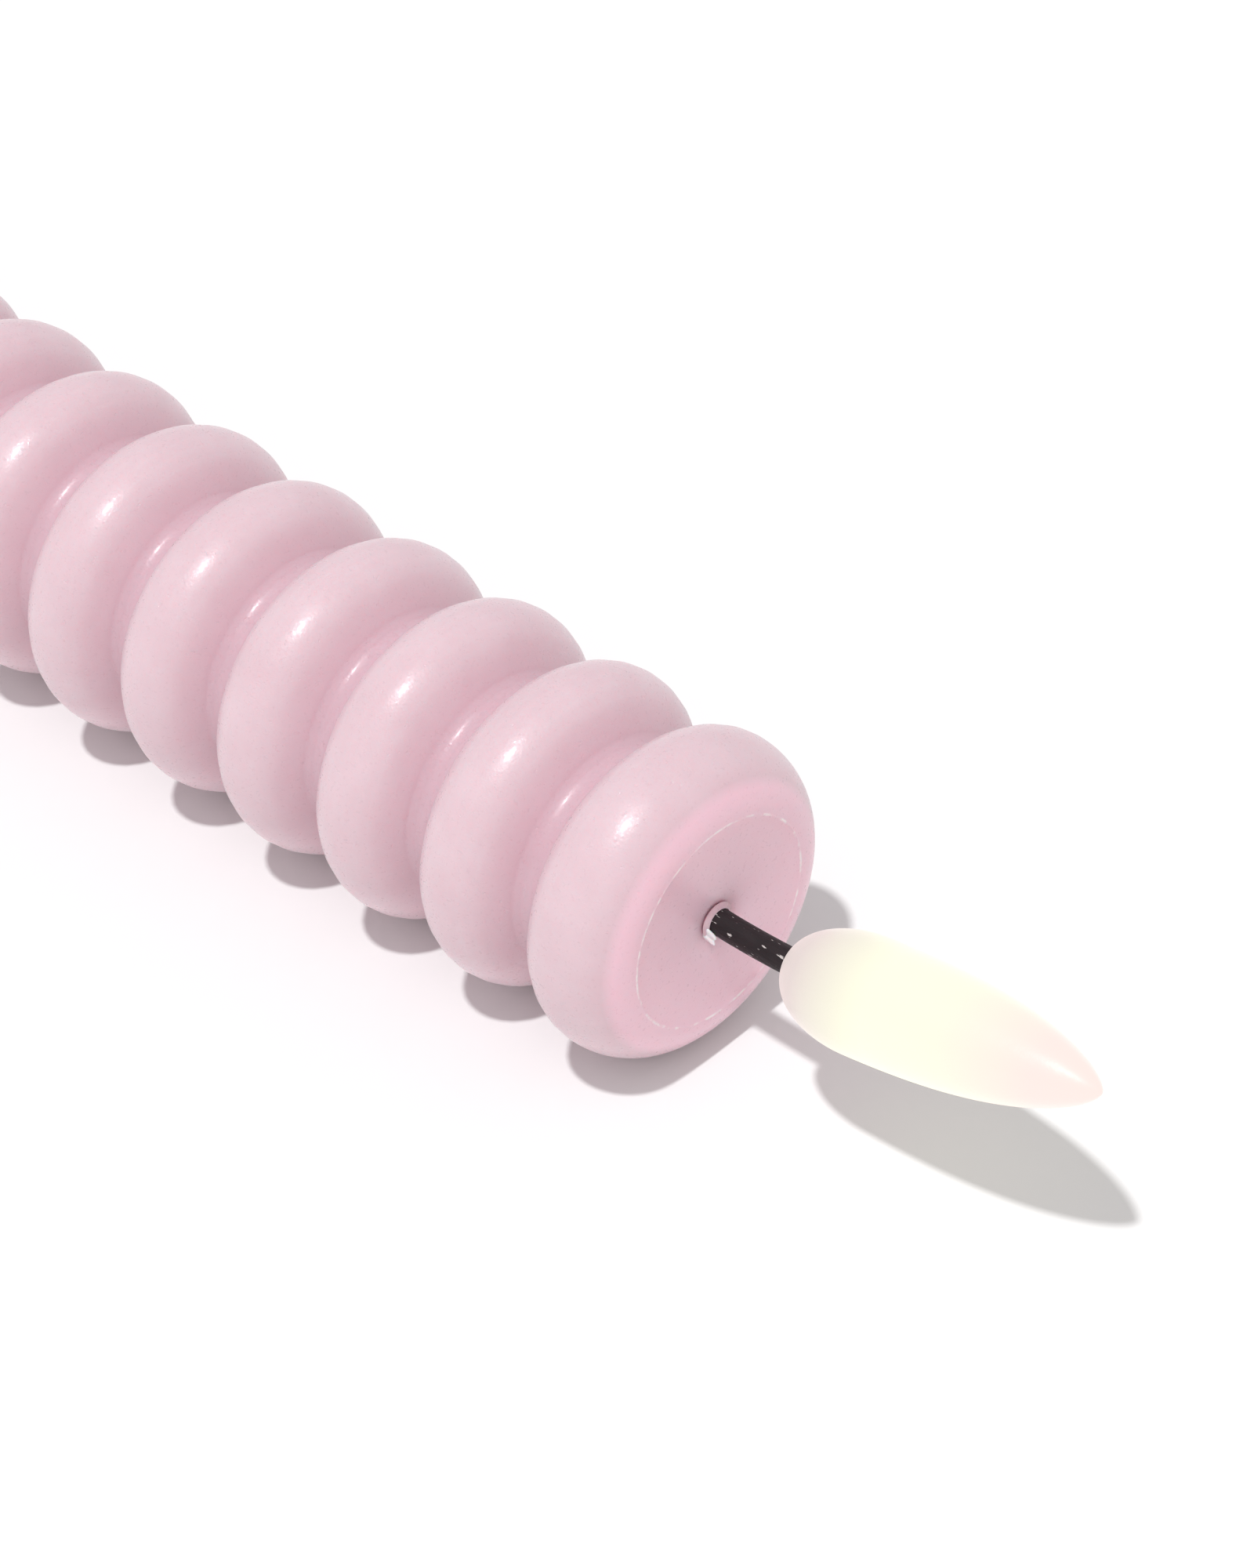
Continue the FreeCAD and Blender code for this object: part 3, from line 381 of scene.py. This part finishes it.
# %% Flame material
SHELL_GREY = (0.66, 0.58, 0.56)
GLOW_YELLOW = (0.90, 0.91, 0.70)
TIP_PINK = (0.88, 0.72, 0.68)
flame_look = Graph("frosted_flame", Roughness=0.4, Emission_Strength=1.0, IOR=1.45)
rise = flame_look.node("ShaderNodeAttribute", {}, out="Fac", attribute_name="along")
warm = flame_look.mix(flame_look.ramp(rise, 0, 1, 0.10, 0.36), SHELL_GREY, GLOW_YELLOW)
ends = flame_look.mix(flame_look.ramp(rise, 0, 1, 0.48, 0.85), warm, TIP_PINK)
frost = flame_look.ramp(flame_look.noise(900, 4), 0.97, 1.0, 0.3, 0.7)
flame_look.set("Emission Color", ends)
flame_look.set("Base Color", flame_look.mix(frost, (0.09, 0.085, 0.08), (0.12, 0.11, 0.10)))
flame_look.set("Normal", flame_look.bump(flame_look.noise(1800, 5), 0.00005, 0.5))
coat(flame_look.material, flame)
print("flame nodes", len(flame_look.tree.nodes))

# %% [markdown]
# ## Everything else
# Moulded plastics, metals, lacquer and insulation. Each look varies its colour, gloss and relief a little.


# %% Other materials
def moulded(name, dark, light, gloss=0.45, grain=1200, relief=0.00004, **settings):
    look = Graph(name, Roughness=gloss, **settings)
    look.set("Base Color", look.mix(look.ramp(look.noise(grain * 0.3), 0, 1, 0.35, 0.65), dark, light))
    look.set("Roughness", look.ramp(look.noise(grain), gloss - 0.08, gloss + 0.1, 0.3, 0.7))
    look.set("Normal", look.bump(look.noise(grain * 2, 5), relief, 0.6))
    return look.material


white_look = moulded("white_moulding", (0.70, 0.69, 0.64), (0.76, 0.75, 0.71))
black_look = moulded("black_moulding", (0.018, 0.018, 0.02), (0.03, 0.03, 0.032), 0.4)
steel_look = moulded("plated_steel", (0.52, 0.52, 0.52), (0.62, 0.62, 0.61), 0.28, 2500, Metallic=1.0)
brass_look = moulded("brass_strip", (0.62, 0.45, 0.18), (0.72, 0.54, 0.25), 0.3, 2500, Metallic=1.0)
board_look = moulded("board_lacquer", (0.02, 0.16, 0.07), (0.03, 0.22, 0.09), 0.3)
wire_look = moulded("red_insulation", (0.45, 0.02, 0.02), (0.55, 0.04, 0.03), 0.35)
lamp_look = moulded("lamp_epoxy", (0.80, 0.62, 0.30), (0.90, 0.72, 0.36), 0.15, Transmission_Weight=0.6)
# The dried glue at the wick's root is wax pink darkened with painted shade, to match the shaded dimple
# round the wick.
glue_look = moulded("dried_glue", (0.52, 0.30, 0.35), (0.70, 0.48, 0.53), 0.3, Subsurface_Weight=0.2,
                    Subsurface_Scale=0.001)
shred_look = moulded("torn_wax", (0.78, 0.68, 0.70), (0.90, 0.84, 0.85), 0.35, Subsurface_Weight=0.3,
                     Subsurface_Scale=0.001)
cell_look = moulded("cell_wrap", (0.03, 0.035, 0.05), (0.05, 0.055, 0.075), 0.3)

wick_look = Graph("black_wick", Roughness=0.5, Specular_IOR_Level=0.25)
thread = wick_look.node("ShaderNodeMapping", {"Vector": wick_look.place, "Scale": (1.0, 1.0, 0.25)})
wick_look.place = thread
flecks = wick_look.ramp(wick_look.noise(4200, 2), 0, 1, 0.66, 0.70)
soot = wick_look.mix(wick_look.noise(1500), (0.010, 0.008, 0.009), (0.028, 0.021, 0.023))
wick_look.set("Base Color", wick_look.mix(flecks * 0.8, soot, (0.7, 0.66, 0.64)))
wick_look.set("Normal", wick_look.bump(wick_look.noise(3000, 5), 0.0001, 0.8))

LOOKS = (
    (white_look, ("core_tube", "core_collar", "board_holder", "core_head", "base_cap", "switch_retainer",
                  "lower_cell_washer", "upper_cell_washer")),
    (black_look, ("timer_chip", "switch_body", "switch_knob", "board_capacitor")),
    (steel_look, ("switch_frame", "switch_pins", "retainer_screws", "spring_plate", "negative_spring",
                  "led_leads", "clock_crystal", "lower_cell_case", "upper_cell_case",
                  "lower_cell_button", "upper_cell_button")),
    (brass_look, ("collar_contact_ring", "return_strip", "positive_contact", "cap_contact_tab")),
    (board_look, ("circuit_board", "board_resistors")),
    (wire_look, ("led_wire_positive", "led_wire_negative")),
    (lamp_look, ("led_body",)),
    (glue_look, ("wick_glue",)),
    (cell_look, ("lower_cell_sleeve", "upper_cell_sleeve")),
    (wick_look.material, ("wick_sleeve",)),
)
for look, names in LOOKS:
    coat(look, *[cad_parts[name] for name in names])
coat(shred_look, shred)
print("coated", sum(len(names) for look, names in LOOKS), "nodes")

# %% [markdown]
# ## Stage and light
# The candle is shown lying on a white table. It stands upright in the frame, so the table is an upright
# board that touches the backs of the rings. A sun and a bright sky light it; the board can't be seen
# from behind, so the back of the candle can be looked at too.

# %% Stage
bpy.ops.mesh.primitive_plane_add(size=6, location=(0, CREST, LAST_CREST), rotation=(math.pi / 2, 0, 0))
board = bpy.context.object
board.name = "white_board"
paper = Graph("white_board_look", Roughness=0.9, Specular_IOR_Level=0.0)
paper.set("Base Color", paper.mix(paper.noise(300), (0.895, 0.895, 0.895), (0.905, 0.905, 0.905)))
clear = paper.tree.nodes.new("ShaderNodeBsdfTransparent")
behind = paper.node("ShaderNodeNewGeometry", {}, out="Backfacing")
chooser = paper.node("ShaderNodeMixShader", {0: behind, 1: Wire(paper, paper.surface.outputs[0]),
                                             2: Wire(paper, clear.outputs[0])})
paper.tree.links.new(chooser.socket, paper.tree.nodes["Material Output"].inputs["Surface"])
coat(paper.material, board)

SKY_STRENGTH = 0.6
SUN_STRENGTH = 1.85
SUN_WIDTH = math.radians(3)
TOWARDS_SUN = Vector((0.318, -0.947, 0.058))
world = bpy.data.worlds.new("sky")
bpy.context.scene.world = world
world.use_nodes = True
sky = world.node_tree
seen = sky.nodes.new("ShaderNodeLightPath").outputs["Is Camera Ray"]
lit = sky.nodes["Background"]
lit.inputs["Color"].default_value = (1.0, 0.985, 0.99, 1)
lit.inputs["Strength"].default_value = SKY_STRENGTH
white = sky.nodes.new("ShaderNodeBackground")
white.inputs["Color"].default_value = (1, 1, 1, 1)
blend = sky.nodes.new("ShaderNodeMixShader")
sky.links.new(seen, blend.inputs[0])
sky.links.new(lit.outputs[0], blend.inputs[1])
sky.links.new(white.outputs[0], blend.inputs[2])
sky.links.new(blend.outputs[0], sky.nodes["World Output"].inputs["Surface"])

bpy.ops.object.light_add(type="SUN", location=(0.3, -0.6, 0.3))
sun = bpy.context.object
sun.data.energy = SUN_STRENGTH
sun.data.angle = SUN_WIDTH
sun.rotation_euler = TOWARDS_SUN.to_track_quat("Z", "Y").to_euler()
print("board at", round(CREST / MM, 2), "mm behind the axis")

# %% [markdown]
# ## Camera
# The camera looks obliquely back along the candle from beyond its flame. Its place is counted in ring
# pitches from the last crest, and its three axes are unit vectors.

# %% Camera
RIGHT = Vector((-0.6948, 0.043, 0.7182))
UP = Vector((-0.4960, -0.752, -0.4346))
BACK = Vector((0.5214, -0.658, 0.5436))
PITCHES_AWAY = Vector((14.70, -19.285, 14.98))
LENS = 99.7
bpy.ops.object.camera_add()
camera = bpy.context.object
camera.location = Vector((0, 0, LAST_CREST)) + PITCH * PITCHES_AWAY
camera.rotation_euler = Matrix((RIGHT, UP, BACK)).transposed().to_quaternion().to_euler()
camera.data.lens = LENS
camera.data.clip_start = 0.01
bpy.context.scene.camera = camera
bpy.context.scene.view_settings.view_transform = "Standard"
print("camera at", [round(number, 3) for number in camera.location])
